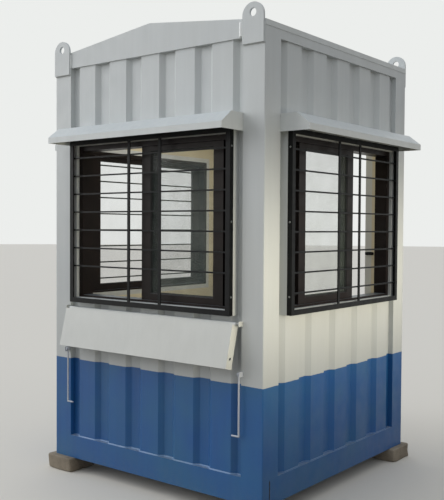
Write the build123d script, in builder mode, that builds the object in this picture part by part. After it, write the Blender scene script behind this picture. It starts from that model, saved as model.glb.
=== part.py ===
from build123d import *
from math import atan2, degrees, hypot
import os

os.makedirs("parts", exist_ok=True)

# A steel security guard booth, five feet square, standing on four concrete blocks.
# X runs along the front from left to right, Y from the front to the back, Z up from the ground.
# The origin is on the ground, under the middle of the booth. All sizes are in millimetres.

# Overall size
width = 1500
depth = 1500
block_height = 80
base_rail_height = 130
eave_height = 2325
gable_rise = 92
eave_rail_height = 70

# Steel frame
frame_steel = 4
post_face = 130
post_corner_radius = 6
base_rail_flange = 90
eave_rail_flange = 60
joist_flange = 50
joist_count = 3
gable_steel = 4
roof_steel = 2
roof_lip = 25
floor_thickness = 18
block_size = 210
block_overhang = 40

# Wall build-up, measured inward from the outer face of the posts
sheet_setback = 8
sheet_steel = 1.5
rib_depth = 22
rib_width = 128
rib_pitch = 244
rib_slope = 26
wall_thickness = 80
lining_thickness = 10
ceiling_thickness = 10
joint_gap = 0.3

# Windows, all three alike
window_margin = 43
window_height = 915
window_sill = 915
surround_bar = 28
surround_steel = 3
surround_proud = 16
track_front = 2
track_jamb = 30
track_head = 27
track_sill = 12
sash_overlap = 76
sash_stile = 62
sash_bottom_rail = 34
sash_top_rail = 24
sash_thickness = 22
outer_sash_depth = 14
inner_sash_depth = 42
sash_play = 1
front_sash_gap = 27
right_sash_gap = 92
glass_thickness = 5

# Window grilles
grille_bar = 27
grille_bar_depth = 28
grille_steel = 3
grille_pitch = 101.6
grille_rod = 8
grille_strap = 18
grille_strap_depth = 6
grille_strap_offset = 112

# Rain hoods
hood_projection = 165
hood_flat = 92
hood_rise = 87
hood_lip = 32
hood_below_window_top = 20
hood_steel = 2

# Lifting lugs
lug_width = 125
lug_height = 194
lug_thickness = 12
lug_hole = 40
lug_top = 88
lug_hole_drop = 48.5
lug_inset = 4

# Folding counter under the front window
flap_overhang = 24
flap_length = 215
flap_thickness = 46
flap_steel = 2
flap_lean = 14
flap_below_grille = 6
hinge_standoff = 17
hinge_rod_radius = 8
hinge_rod_inset = 16
hinge_pin_radius = 4
hinge_pin_reach = 30
hinge_pin_play = 0.4
hinge_end_play = 4
hinge_tab_steel = 4
hinge_tab_height = 24
hinge_tab_inset = 2
hook_hole = 14
hook_hole_inset = 50

# Stays that hold the counter up
stay_rod = 9
stay_standoff = 20
stay_height = 635
stay_beside_flap = 20
stay_eye_radius = 11
stay_pin_radius = 4
stay_pin_play = 0.8
stay_pin_head = 2
stay_pin_head_radius = 7
stay_tab_steel = 4
stay_tab_height = 26
stay_tab_gap = 3
stay_hook_reach = 22

# Doorway and door leaf in the back wall
door_clear_width = 610
door_header = 163
door_beside_post = 48
door_frame_bar = 44
door_frame_steel = 2
door_leaf_thickness = 35
door_gap = 3
door_open_angle = 169
door_hinge_radius = 7
door_hinge_height = 100
door_hinge_count = 3
door_hinge_leaf = 38
door_hinge_steel = 3
door_handle_height = 1000
door_handle_length = 160
door_handle_rod = 12
door_handle_reach = 45
door_handle_backset = 60

# Levels and places that follow from the sizes above
base_top = block_height + base_rail_height
floor_top = base_top + floor_thickness
eave_z = block_height + eave_height
header_z = eave_z - eave_rail_height
ridge_z = eave_z + gable_rise
ceiling_z = header_z - ceiling_thickness
window_z = block_height + window_sill
window_top = window_z + window_height
lining_front = wall_thickness - lining_thickness


class Wall:
    """One side of the booth: its plane has X along the wall, Y inward from the posts' face and Z up."""

    def __init__(self, name, length, distance, angle):
        outward = Vector(0, -1, 0).rotate(Axis.Z, angle)
        along = Vector(1, 0, 0).rotate(Axis.Z, angle)
        self.name = name
        self.length = length
        self.bay = length - 2 * post_face
        self.half_window = self.bay / 2 - window_margin
        self.track_x = self.half_window - surround_bar
        self.clear_x = self.track_x - track_jamb
        self.sash_width = self.clear_x - sash_play + sash_overlap / 2
        self.plane = Plane(origin=outward * distance, x_dir=along, z_dir=(0, 0, 1))


front_wall = Wall("front", width, depth / 2, 0)
right_wall = Wall("right", depth, width / 2, 90)
back_wall = Wall("back", width, depth / 2, 180)
left_wall = Wall("left", depth, width / 2, 270)
walls = [front_wall, right_wall, back_wall, left_wall]
window_walls = [front_wall, right_wall, left_wall]


def slab(x0, x1, y0, y1, z0, z1, mode=Mode.ADD):
    """A box between two corners, in the frame of the part being built."""
    with Locations(((x0 + x1) / 2, (y0 + y1) / 2, (z0 + z1) / 2)):
        Box(x1 - x0, y1 - y0, z1 - z0, mode=mode)


def save(part, name):
    """Label a finished piece and write its file."""
    part.label = name
    export_step(part, f"parts/{name}.step")


# Support blocks under the four corners
with BuildPart() as support_blocks:
    block_x = width / 2 + block_overhang - block_size / 2
    block_y = depth / 2 + block_overhang - block_size / 2
    for side_x in (-1, 1):
        for side_y in (-1, 1):
            with Locations((side_x * block_x, side_y * block_y, block_height / 2)):
                Box(block_size, block_size, block_height)
save(support_blocks.part, "support_blocks")


# Base rails: channels that open inward, between the posts
with BuildPart() as base_rails:
    for wall in walls:
        with BuildSketch(wall.plane.offset(block_height)) as rail_plan:
            with Locations((0, base_rail_flange / 2)):
                Rectangle(wall.bay, base_rail_flange)
        with BuildSketch(wall.plane.offset(block_height + frame_steel)) as rail_hollow:
            with Locations((0, (frame_steel + base_rail_flange) / 2)):
                Rectangle(wall.bay, base_rail_flange - frame_steel)
        extrude(rail_plan.sketch, amount=base_rail_height)
        extrude(rail_hollow.sketch, amount=base_rail_height - 2 * frame_steel, mode=Mode.SUBTRACT)
save(base_rails.part, "base_rails")


# Floor joists: channels welded between the flanges of the front and back rails
joist_length = depth - 2 * base_rail_flange
with BuildPart() as floor_joists:
    for index in range(joist_count):
        joist_x = width * ((index + 1) / (joist_count + 1) - 0.5)
        slab(joist_x - joist_flange / 2, joist_x + joist_flange / 2,
             -joist_length / 2, joist_length / 2, block_height, base_top)
        slab(joist_x - joist_flange / 2 + frame_steel, joist_x + joist_flange / 2,
             -joist_length / 2, joist_length / 2,
             block_height + frame_steel, base_top - frame_steel, mode=Mode.SUBTRACT)
save(floor_joists.part, "floor_joists")


# Floor board, resting on the rails and the joists
floor_x = width / 2 - lining_front
floor_y = depth / 2 - lining_front
with BuildPart() as floor_board:
    slab(-floor_x, floor_x, -floor_y, floor_y, base_top, floor_top)
save(floor_board.part, "floor_board")


def post_outline(corner_x, corner_y, side_x, side_y):
    """The folded angle of a corner post, with a return into the wall at each end."""
    legs = [
        (post_face, lining_front),
        (post_face, 0),
        (0, 0),
        (0, post_face),
        (lining_front, post_face),
        (lining_front, post_face - frame_steel),
        (frame_steel, post_face - frame_steel),
        (frame_steel, frame_steel),
        (post_face - frame_steel, frame_steel),
        (post_face - frame_steel, lining_front),
    ]
    return [(corner_x - side_x * x, corner_y - side_y * y) for x, y in legs]


# Corner posts
with BuildPart() as corner_posts:
    for side_x in (-1, 1):
        for side_y in (-1, 1):
            corner = (side_x * width / 2, side_y * depth / 2)
            with BuildSketch(Plane.XY.offset(block_height)) as post_plan:
                with BuildLine():
                    Polyline(post_outline(*corner, side_x, side_y), close=True)
                make_face()
                outer_corner = post_plan.vertices().sort_by_distance(Vector(*corner))[0]
                fillet(outer_corner, post_corner_radius)
            extrude(post_plan.sketch, amount=eave_height)
save(corner_posts.part, "corner_posts")


# Eave rails along the left and right sides
with BuildPart() as eave_rails:
    for wall in (right_wall, left_wall):
        with BuildSketch(wall.plane.offset(header_z)) as rail_plan:
            with Locations((0, eave_rail_flange / 2)):
                Rectangle(wall.bay, eave_rail_flange)
        with BuildSketch(wall.plane.offset(header_z + frame_steel)) as rail_hollow:
            with Locations((0, (frame_steel + eave_rail_flange) / 2)):
                Rectangle(wall.bay, eave_rail_flange - frame_steel)
        extrude(rail_plan.sketch, amount=eave_rail_height)
        extrude(rail_hollow.sketch, amount=eave_rail_height - 2 * frame_steel, mode=Mode.SUBTRACT)
save(eave_rails.part, "eave_rails")


# Gable plates: they stand between the posts and run out over them under the roof's slope
for wall in (front_wall, back_wall):
    with BuildPart() as gable:
        upright = Plane(origin=wall.plane.origin, x_dir=wall.plane.x_dir, z_dir=-wall.plane.y_dir)
        with BuildSketch(upright) as gable_face:
            with BuildLine():
                Polyline(
                    (-wall.bay / 2, header_z),
                    (wall.bay / 2, header_z),
                    (wall.bay / 2, eave_z),
                    (wall.length / 2, eave_z),
                    (0, ridge_z),
                    (-wall.length / 2, eave_z),
                    (-wall.bay / 2, eave_z),
                    close=True,
                )
            make_face()
        extrude(gable_face.sketch, amount=-gable_steel)
        with BuildSketch(wall.plane.offset(header_z)) as bottom_flange:
            with Locations((0, eave_rail_flange / 2)):
                Rectangle(wall.bay, eave_rail_flange)
        extrude(bottom_flange.sketch, amount=frame_steel)
    save(gable.part, f"{wall.name}_gable")


# Roof sheet: two slopes and a lip turned down over each eave rail
with BuildPart() as roof_sheet:
    with BuildSketch(Plane.XZ.offset(-depth / 2)) as roof_section:
        with BuildLine():
            Polyline(
                (-width / 2 - roof_steel, eave_z - roof_lip),
                (-width / 2 - roof_steel, eave_z + roof_steel),
                (0, ridge_z + roof_steel),
                (width / 2 + roof_steel, eave_z + roof_steel),
                (width / 2 + roof_steel, eave_z - roof_lip),
                (width / 2, eave_z - roof_lip),
                (width / 2, eave_z),
                (0, ridge_z),
                (-width / 2, eave_z),
                (-width / 2, eave_z - roof_lip),
                close=True,
            )
        make_face()
    extrude(roof_section.sketch, amount=depth)
save(roof_sheet.part, "roof_sheet")


# Ceiling panel, lying on the wall linings
with BuildPart() as ceiling_panel:
    slab(-floor_x, floor_x, -floor_y, floor_y, ceiling_z, header_z)
save(ceiling_panel.part, "ceiling_panel")


# Lifting lugs: one plate on the outer face of each post, front and back
lug_x = width / 2 - lug_inset - lug_width / 2
lug_hole_z = eave_z + lug_top - lug_hole_drop
with BuildPart() as lifting_lugs:
    for wall in (front_wall, back_wall):
        upright = Plane(origin=wall.plane.origin, x_dir=wall.plane.x_dir, z_dir=-wall.plane.y_dir)
        for side in (-1, 1):
            with BuildSketch(upright) as lug_face:
                with Locations((side * lug_x, eave_z + lug_top - lug_height / 2 - lug_width / 4)):
                    Rectangle(lug_width, lug_height - lug_width / 2)
                with Locations((side * lug_x, eave_z + lug_top - lug_width / 2)):
                    Circle(lug_width / 2)
                with Locations((side * lug_x, lug_hole_z)):
                    Circle(lug_hole / 2, mode=Mode.SUBTRACT)
            extrude(lug_face.sketch, amount=lug_thickness)
save(lifting_lugs.part, "lifting_lugs")


def rib_centres(bay):
    """As many ribs as fit in the bay, spaced about its middle."""
    rib_count = int((bay - rib_width - 2 * rib_slope) // rib_pitch) + 1
    return [rib_pitch * (index - (rib_count - 1) / 2) for index in range(rib_count)]


def rib_outline(bay):
    """The corrugated sheet seen from above: its outer line, and back along its inner line."""
    outer_y = sheet_setback
    inner_y = sheet_setback + rib_depth
    line = [(-bay / 2, inner_y)]
    for centre in rib_centres(bay):
        line.append((centre - rib_width / 2 - rib_slope, inner_y))
        line.append((centre - rib_width / 2, outer_y))
        line.append((centre + rib_width / 2, outer_y))
        line.append((centre + rib_width / 2 + rib_slope, inner_y))
    line.append((bay / 2, inner_y))
    return line + [(x, y + sheet_steel) for x, y in reversed(line)]


def corrugated_panel(wall, x0, x1, z0, z1):
    """A corrugated panel between two heights, cut from the sheet that fills the bay."""
    sheet_middle = sheet_setback + rib_depth / 2
    with BuildSketch(wall.plane.offset(z0)) as plan:
        with BuildLine():
            Polyline(rib_outline(wall.bay), close=True)
        make_face()
        with Locations(((x0 + x1) / 2, sheet_middle)):
            Rectangle(x1 - x0, 2 * rib_depth, mode=Mode.INTERSECT)
    extrude(plan.sketch, amount=z1 - z0)


# Corrugated steel of the window walls: below, above and beside each window
for wall in window_walls:
    half_bay = wall.bay / 2
    with BuildPart() as wall_sheets:
        corrugated_panel(wall, -half_bay, half_bay, base_top, window_z)
        corrugated_panel(wall, -half_bay, half_bay, window_top, header_z)
        corrugated_panel(wall, -half_bay, -wall.half_window, window_z + joint_gap, window_top - joint_gap)
        corrugated_panel(wall, wall.half_window, half_bay, window_z + joint_gap, window_top - joint_gap)
    save(wall_sheets.part, f"{wall.name}_wall_sheets")

# Doorway in the back wall, in that wall's own frame, where X runs the other way
doorway_x0 = -back_wall.bay / 2 + door_beside_post
door_lock_x = doorway_x0 + door_frame_bar
door_hinge_x = door_lock_x + door_clear_width
doorway_x1 = door_hinge_x + door_frame_bar
doorway_top = header_z - door_header
door_clear_top = doorway_top - door_frame_bar
door_clear_height = door_clear_top - floor_top

# Corrugated steel of the back wall: beside and over the doorway
half_bay = back_wall.bay / 2
with BuildPart() as back_sheets:
    corrugated_panel(back_wall, -half_bay, doorway_x0, base_top, header_z)
    corrugated_panel(back_wall, doorway_x1, half_bay, base_top, header_z)
    corrugated_panel(back_wall, doorway_x0 + joint_gap, doorway_x1 - joint_gap, doorway_top, header_z)
save(back_sheets.part, "back_wall_sheets")


def lining_board(wall, x0, x1, z0, z1):
    """A flat board on the inside of a wall."""
    with BuildSketch(wall.plane.offset(z0)) as plan:
        with Locations(((x0 + x1) / 2, lining_front + lining_thickness / 2)):
            Rectangle(x1 - x0, lining_thickness)
    extrude(plan.sketch, amount=z1 - z0)


# Inner linings: the front and back boards stand between the side boards
for wall in walls:
    butts = lining_front + (lining_thickness if wall in (front_wall, back_wall) else 0)
    half_lining = wall.length / 2 - butts
    with BuildPart() as lining:
        if wall is back_wall:
            lining_board(wall, -half_lining, doorway_x0, floor_top, ceiling_z)
            lining_board(wall, doorway_x1, half_lining, floor_top, ceiling_z)
            lining_board(wall, doorway_x0 + joint_gap, doorway_x1 - joint_gap, doorway_top, ceiling_z)
        else:
            lining_board(wall, -half_lining, half_lining, floor_top, window_z)
            lining_board(wall, -half_lining, half_lining, window_top, ceiling_z)
            lining_board(wall, -half_lining, -wall.half_window, window_z + joint_gap, window_top - joint_gap)
            lining_board(wall, wall.half_window, half_lining, window_z + joint_gap, window_top - joint_gap)
    save(lining.part, f"{wall.name}_lining")


def tube_bar(x0, x1, y0, y1, z0, z1, steel, along):
    """A hollow bar with open ends, along X or Z."""
    slab(x0, x1, y0, y1, z0, z1)
    if along == "x":
        slab(x0, x1, y0 + steel, y1 - steel, z0 + steel, z1 - steel, mode=Mode.SUBTRACT)
    else:
        slab(x0 + steel, x1 - steel, y0 + steel, y1 - steel, z0, z1, mode=Mode.SUBTRACT)


# Window surrounds: a hollow steel bar on each edge of the opening, standing proud outside
for wall in window_walls:
    inner = wall.track_x
    with BuildPart(wall.plane) as surround:
        for side in (-1, 1):
            edges = sorted((side * inner, side * wall.half_window))
            tube_bar(*edges, -surround_proud, wall_thickness, window_z, window_top, surround_steel, "z")
        for z0 in (window_z, window_top - surround_bar):
            tube_bar(-inner + joint_gap, inner - joint_gap, -surround_proud, wall_thickness,
                     z0, z0 + surround_bar, surround_steel, "x")
    save(surround.part, f"{wall.name}_window_surround")

# The opening left inside the surround, and inside the sliding track
track_z0 = window_z + surround_bar
track_z1 = window_top - surround_bar
clear_z0 = track_z0 + track_sill
clear_z1 = track_z1 - track_head

# Window tracks: dark aluminium, two jambs, a head and a sill
for wall in window_walls:
    with BuildPart(wall.plane) as track:
        slab(-wall.track_x, -wall.clear_x, track_front, wall_thickness, track_z0, track_z1)
        slab(wall.clear_x, wall.track_x, track_front, wall_thickness, track_z0, track_z1)
        slab(-wall.clear_x + joint_gap, wall.clear_x - joint_gap, track_front, wall_thickness,
             track_z0, clear_z0)
        slab(-wall.clear_x + joint_gap, wall.clear_x - joint_gap, track_front, wall_thickness,
             clear_z1, track_z1)
    save(track.part, f"{wall.name}_window_track")

# Sashes slide in two lanes. Each entry gives the left end of the outer and of the inner sash:
# both slid to the right in front, both together near the front post on the right, closed on the left.
front_parked = front_wall.clear_x - front_wall.sash_width
right_parked = -right_wall.clear_x + right_sash_gap
left_closed = left_wall.clear_x - left_wall.sash_width - sash_play
sash_places = {
    "front": (front_parked - front_sash_gap, front_parked - sash_play),
    "right": (right_parked, right_parked),
    "left": (-left_wall.clear_x + sash_play, left_closed),
}
sash_z0 = clear_z0 + joint_gap
sash_z1 = clear_z1 - joint_gap
pane_z0 = sash_z0 + sash_bottom_rail
pane_z1 = sash_z1 - sash_top_rail

for wall in window_walls:
    places = zip(sash_places[wall.name], (outer_sash_depth, inner_sash_depth))
    with BuildPart(wall.plane) as sashes:
        for x, y in places:
            slab(x, x + wall.sash_width, y, y + sash_thickness, sash_z0, sash_z1)
            slab(x + sash_stile, x + wall.sash_width - sash_stile, y, y + sash_thickness,
                 pane_z0, pane_z1, mode=Mode.SUBTRACT)
    save(sashes.part, f"{wall.name}_window_sashes")

# Panes, one in each sash
with BuildPart() as window_glass:
    for wall in window_walls:
        for x, y in zip(sash_places[wall.name], (outer_sash_depth, inner_sash_depth)):
            pane_y = y + sash_thickness / 2
            pane_x = x + wall.sash_width / 2
            with BuildSketch(wall.plane.offset(pane_z0)) as pane_plan:
                with Locations((pane_x, pane_y)):
                    Rectangle(wall.sash_width - 2 * sash_stile, glass_thickness)
            extrude(pane_plan.sketch, amount=pane_z1 - pane_z0)
save(window_glass.part, "window_glass")


# Window grilles: a frame of steel angle, rods across it and two straps down the rods' outer side
grille_front = -surround_proud - grille_bar_depth
rod_y = -surround_proud - grille_bar_depth / 2
rod_front = rod_y - grille_rod / 2
first_rod_z = window_z + grille_pitch + grille_rod / 2
for wall in window_walls:
    half_window = wall.half_window
    angle_x = half_window - grille_steel
    rods = int((window_height - grille_bar) // grille_pitch)
    lowest = 1 if wall is front_wall else 0
    with BuildPart(wall.plane) as grille:
        slab(-half_window, half_window, grille_front, -surround_proud, window_z, window_top)
        slab(-angle_x, angle_x, grille_front + grille_steel, -surround_proud,
             window_z + grille_steel, window_top - grille_steel, mode=Mode.SUBTRACT)
        slab(-half_window + grille_bar, half_window - grille_bar, grille_front, -surround_proud,
             window_z + grille_bar, window_top - grille_bar, mode=Mode.SUBTRACT)
        for index in range(lowest, rods):
            rod_z = first_rod_z + index * grille_pitch
            slab(-angle_x, angle_x, rod_front, rod_y + grille_rod / 2,
                 rod_z - grille_rod / 2, rod_z + grille_rod / 2)
        for side in (-1, 1):
            strap_x = side * grille_strap_offset
            slab(strap_x - grille_strap / 2, strap_x + grille_strap / 2,
                 rod_front - grille_strap_depth, rod_front,
                 window_z + grille_steel, window_top - grille_steel)
    save(grille.part, f"{wall.name}_window_grille")


def hood_outline(inset, bottom):
    """The hood's section, drawn outward from the sheet's flats: flat top, slope and lip."""
    slope_length = hypot(hood_projection - hood_flat, hood_rise - hood_lip)
    knee = inset * (slope_length - (hood_projection - hood_flat)) / (hood_rise - hood_lip)
    toe = inset * (slope_length - (hood_rise - hood_lip)) / (hood_projection - hood_flat)
    return [
        (sheet_setback, bottom),
        (sheet_setback, hood_top - inset),
        (-hood_flat + knee, hood_top - inset),
        (-hood_projection + inset, hood_top - hood_rise + hood_lip - toe),
        (-hood_projection + inset, bottom),
    ]


# Rain hoods: folded sheet with a flat top, a slope, a short lip and closed ends
hood_bottom = window_top - hood_below_window_top
hood_top = hood_bottom + hood_rise
for wall in window_walls:
    hood_half = wall.bay / 2 - joint_gap
    end_plane = Plane(origin=wall.plane.origin, x_dir=wall.plane.y_dir, z_dir=wall.plane.x_dir)
    with BuildPart() as hood:
        with BuildSketch(end_plane) as hood_section:
            with BuildLine():
                Polyline(hood_outline(0, hood_bottom), close=True)
            make_face()
        extrude(hood_section.sketch, amount=hood_half, both=True)
        with BuildSketch(end_plane) as hood_inside:
            with BuildLine():
                Polyline(hood_outline(hood_steel, hood_bottom), close=True)
            make_face()
        extrude(hood_inside.sketch, amount=hood_half - hood_steel, both=True, mode=Mode.SUBTRACT)
    save(hood.part, f"{wall.name}_hood")


# The folding counter hangs from a rod along its top edge, which turns on a pin at each front post
flap_axis_y = -hinge_standoff
flap_axis_z = window_z - flap_below_grille - flap_thickness + hinge_rod_inset
flap_axis = front_wall.plane.from_local_coords(Vector(0, flap_axis_y, flap_axis_z))
flap_plane = Plane(origin=flap_axis, x_dir=(1, 0, 0), z_dir=(0, 0, 1)).rotated((-flap_lean, 0, 0))
flap_half = front_wall.half_window + flap_overhang
flap_back = hinge_rod_inset
flap_front = flap_back - flap_thickness
flap_top = -hinge_rod_radius
flap_bottom = flap_top - flap_length
hook_hole_y = (flap_front + flap_back) / 2
hook_hole_z = flap_bottom + hook_hole_inset
rod_bore = hinge_pin_radius + hinge_pin_play
rod_bore_depth = hinge_pin_reach + hinge_end_play

# In the flap's own frame Y points to the wall and Z up, with the middle of the rod at its origin
with BuildPart(flap_plane) as counter_flap:
    slab(-flap_half, flap_half, flap_front, flap_back, flap_bottom, flap_top)
    slab(-flap_half + flap_steel, flap_half - flap_steel, flap_front + flap_steel, flap_back,
         flap_bottom + flap_steel, flap_top - flap_steel, mode=Mode.SUBTRACT)
    slab(-flap_half, flap_half, -hinge_rod_radius, hinge_rod_radius, flap_top, 0)
    with Locations(Location((0, 0, 0), (0, 90, 0))):
        Cylinder(hinge_rod_radius, 2 * flap_half)
    for side in (-1, 1):
        with Locations(Location((side * flap_half, 0, 0), (0, 90, 0))):
            Cylinder(rod_bore, 2 * rod_bore_depth, mode=Mode.SUBTRACT)
    with Locations(Location((0, hook_hole_y, hook_hole_z), (0, 90, 0))):
        Cylinder(hook_hole / 2, 2 * (flap_half + flap_steel), mode=Mode.SUBTRACT)
save(counter_flap.part, "counter_flap")

# Fixed halves of the counter's hinges: a tab on each front post, with a pin into the end of the rod
with BuildPart(front_wall.plane) as flap_hinges:
    for side in (-1, 1):
        tab_inner = front_wall.bay / 2 + hinge_tab_inset
        tab_edges = sorted((side * tab_inner, side * (tab_inner + hinge_tab_steel)))
        slab(*tab_edges, flap_axis_y - hinge_tab_height / 2, 0,
             flap_axis_z - hinge_tab_height / 2, flap_axis_z + hinge_tab_height / 2)
        pin_inner = flap_half - hinge_pin_reach
        pin_length = tab_inner - pin_inner
        pin_x = side * (pin_inner + pin_length / 2)
        with Locations(Location((pin_x, flap_axis_y, flap_axis_z), (0, 90, 0))):
            Cylinder(hinge_pin_radius, pin_length)
save(flap_hinges.part, "flap_hinges")


# Stays: they hang from an eye on each front post and swing up to hook into the raised counter
stay_z = block_height + stay_height
stay_offset = flap_half + stay_beside_flap
stay_hook = stay_beside_flap + stay_hook_reach
hook_y = flap_axis_y + hook_hole_z
hook_z = flap_axis_z - hook_hole_y
stay_length = hypot(hook_y + stay_standoff, hook_z - stay_z)
stay_raised_angle = degrees(atan2(-(hook_y + stay_standoff), -(hook_z - stay_z)))
for name, side in (("left", -1), ("right", 1)):
    with BuildPart(front_wall.plane) as stay:
        with Locations(Location((side * stay_offset, -stay_standoff, stay_z), (0, 90, 0))):
            Cylinder(stay_eye_radius, stay_rod)
        with Locations((side * stay_offset, -stay_standoff, stay_z - stay_length / 2)):
            Cylinder(stay_rod / 2, stay_length)
        with Locations(Location((side * (stay_offset - stay_hook / 2), -stay_standoff, stay_z - stay_length),
                                (0, 90, 0))):
            Cylinder(stay_rod / 2, stay_hook)
        with Locations((side * stay_offset, -stay_standoff, stay_z - stay_length)):
            Sphere(stay_rod / 2)
        with Locations(Location((side * stay_offset, -stay_standoff, stay_z), (0, 90, 0))):
            Cylinder(stay_pin_radius + stay_pin_play, 2 * stay_rod, mode=Mode.SUBTRACT)
    save(stay.part, f"{name}_stay")

# Eyes that carry the stays: a tab on the post's face and a pin with a head
with BuildPart(front_wall.plane) as stay_eyes:
    for side in (-1, 1):
        tab_inner = stay_offset + stay_rod / 2 + stay_tab_gap
        tab_edges = sorted((side * tab_inner, side * (tab_inner + stay_tab_steel)))
        slab(*tab_edges, -stay_standoff - stay_tab_height / 2, 0,
             stay_z - stay_tab_height / 2, stay_z + stay_tab_height / 2)
        pin_inner = stay_offset - stay_rod / 2 - stay_tab_gap
        pin_length = tab_inner - pin_inner
        with Locations(Location((side * (pin_inner + pin_length / 2), -stay_standoff, stay_z), (0, 90, 0))):
            Cylinder(stay_pin_radius, pin_length)
        with Locations(Location((side * (pin_inner - stay_pin_head / 2), -stay_standoff, stay_z), (0, 90, 0))):
            Cylinder(stay_pin_head_radius, stay_pin_head)
save(stay_eyes.part, "stay_eyes")


# Door frame: two jambs, a head and a threshold through the thickness of the back wall
with BuildPart(back_wall.plane) as door_frame:
    for x0, x1 in ((doorway_x0, door_lock_x), (door_hinge_x, doorway_x1)):
        tube_bar(x0, x1, 0, wall_thickness, floor_top, doorway_top, door_frame_steel, "z")
        slab(x0, x1, 0, lining_front, base_top, floor_top)
    tube_bar(door_lock_x + joint_gap, door_hinge_x - joint_gap, 0, wall_thickness,
             door_clear_top, doorway_top, door_frame_steel, "x")
    slab(door_lock_x + joint_gap, door_hinge_x - joint_gap, 0, lining_front, base_top, floor_top)
save(door_frame.part, "door_frame")

# The door stands open, folded back almost to the wall. Its hinge pins stand clear of the frame's face.
# In the leaf's own frame the pins are on Z, the leaf runs along -X and its outer face is at leaf_face.
leaf_face = door_hinge_radius + door_gap - door_hinge_steel
leaf_origin = back_wall.plane.from_local_coords(Vector(door_hinge_x, -leaf_face, floor_top))
leaf_plane = Plane(origin=leaf_origin, x_dir=back_wall.plane.x_dir, z_dir=(0, 0, 1))
leaf_plane = leaf_plane.rotated((0, 0, door_open_angle))
leaf_width = door_clear_width - 2 * door_gap
leaf_height = door_clear_height - 2 * door_gap
with BuildPart(leaf_plane) as door_leaf:
    slab(-door_gap - leaf_width, -door_gap, leaf_face, leaf_face + door_leaf_thickness,
         door_gap, door_gap + leaf_height)
save(door_leaf.part, "door_leaf")

# Door hinges: a knuckle with one plate on the frame and one on the leaf
hinge_steps = [(index + 0.5) / door_hinge_count * door_clear_height for index in range(door_hinge_count)]
with BuildPart() as door_hinges:
    for hinge_z in hinge_steps:
        z0 = hinge_z - door_hinge_height / 2
        frame_hinge = Plane(origin=leaf_origin, x_dir=back_wall.plane.x_dir, z_dir=(0, 0, 1)).offset(z0)
        for hinge_plane, direction in ((frame_hinge, 1), (leaf_plane.offset(z0), -1)):
            with BuildSketch(hinge_plane) as hinge_plan:
                with Locations((direction * door_hinge_leaf / 2, leaf_face - door_hinge_steel / 2)):
                    Rectangle(door_hinge_leaf, door_hinge_steel)
            extrude(hinge_plan.sketch, amount=door_hinge_height)
        with BuildSketch(frame_hinge) as knuckle_plan:
            Circle(door_hinge_radius)
        extrude(knuckle_plan.sketch, amount=door_hinge_height)
save(door_hinges.part, "door_hinges")

# Door handle: a bent rod on the leaf's outer face
handle_x = -door_gap - leaf_width + door_handle_backset
handle_top = door_handle_height + door_handle_length / 2
handle_bottom = door_handle_height - door_handle_length / 2
with BuildPart() as door_handle:
    handle_side = Plane(
        origin=leaf_plane.from_local_coords(Vector(handle_x, leaf_face, 0)),
        x_dir=-leaf_plane.y_dir,
        z_dir=-leaf_plane.x_dir,
    )
    with BuildLine(handle_side) as handle_path:
        FilletPolyline(
            (0, handle_bottom),
            (door_handle_reach, handle_bottom),
            (door_handle_reach, handle_top),
            (0, handle_top),
            radius=2 * door_handle_rod,
        )
    with BuildSketch(Plane(handle_path.line @ 0, z_dir=handle_path.line % 0)) as handle_section:
        Circle(door_handle_rod / 2)
    sweep(handle_section.sketch, path=handle_path.line)
save(door_handle.part, "door_handle")

print("counter: hinge axis", flap_axis, "raised by", round(90 - flap_lean, 2))
print("stays: length", round(stay_length, 2), "raised by", round(stay_raised_angle, 2))
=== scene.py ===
# %% [markdown]
# # A steel security guard booth
#
# This notebook dresses a finished CAD model of a small guard booth. The model's solids already have
# every main shape: ribbed sheets, posts, windows, grilles, hoods, the folding counter and its stays.
# What is left for Blender is what a painter, a welder and the weather add: paint, weld beads, sealant,
# screws, rubber and dust. All lengths are metres, Z is up and the front faces -Y.

# %% Load the frame
import math

import bmesh
import bpy
import numpy as np
from mathutils import Matrix, Vector


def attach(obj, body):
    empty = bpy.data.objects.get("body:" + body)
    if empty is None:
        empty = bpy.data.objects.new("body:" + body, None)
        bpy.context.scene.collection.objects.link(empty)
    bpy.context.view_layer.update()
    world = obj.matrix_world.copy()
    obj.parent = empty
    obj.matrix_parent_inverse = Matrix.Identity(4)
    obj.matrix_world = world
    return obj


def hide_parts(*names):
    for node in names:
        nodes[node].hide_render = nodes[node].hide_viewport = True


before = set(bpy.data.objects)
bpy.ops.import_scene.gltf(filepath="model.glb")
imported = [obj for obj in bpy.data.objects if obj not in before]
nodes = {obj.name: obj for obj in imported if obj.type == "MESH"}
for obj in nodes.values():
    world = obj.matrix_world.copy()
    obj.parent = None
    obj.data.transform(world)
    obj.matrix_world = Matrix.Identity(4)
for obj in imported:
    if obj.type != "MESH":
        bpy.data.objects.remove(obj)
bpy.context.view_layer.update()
print("CAD nodes:", len(nodes))

# %% [markdown]
# ## Camera
#
# The camera was solved from the booth's own edges: the ones that run to each vanishing point give its
# direction, and the known width gives its distance. It is set from a direction and a position rather than
# by dragging, so that the view comes out the same on every run. A lens of 56.9 mm on a 36 mm sensor gives
# the field of view in a frame of 444 by 500 pixels.

# %% Place the camera
YAW = math.radians(38.241)
PITCH = math.radians(-1.639)
ROLL = math.radians(0.334)
EYE = Vector((2.905, -3.806, 1.425))
FOCAL_PIXELS = 790.2
FRAME_HEIGHT_PIXELS = 500

forward = Vector((-math.sin(YAW) * math.cos(PITCH), math.cos(YAW) * math.cos(PITCH), math.sin(PITCH)))
level = Vector((math.cos(YAW), math.sin(YAW), 0.0))
upright = level.cross(forward)
side = level * math.cos(ROLL) + upright * math.sin(ROLL)
top = upright * math.cos(ROLL) - level * math.sin(ROLL)

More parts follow.
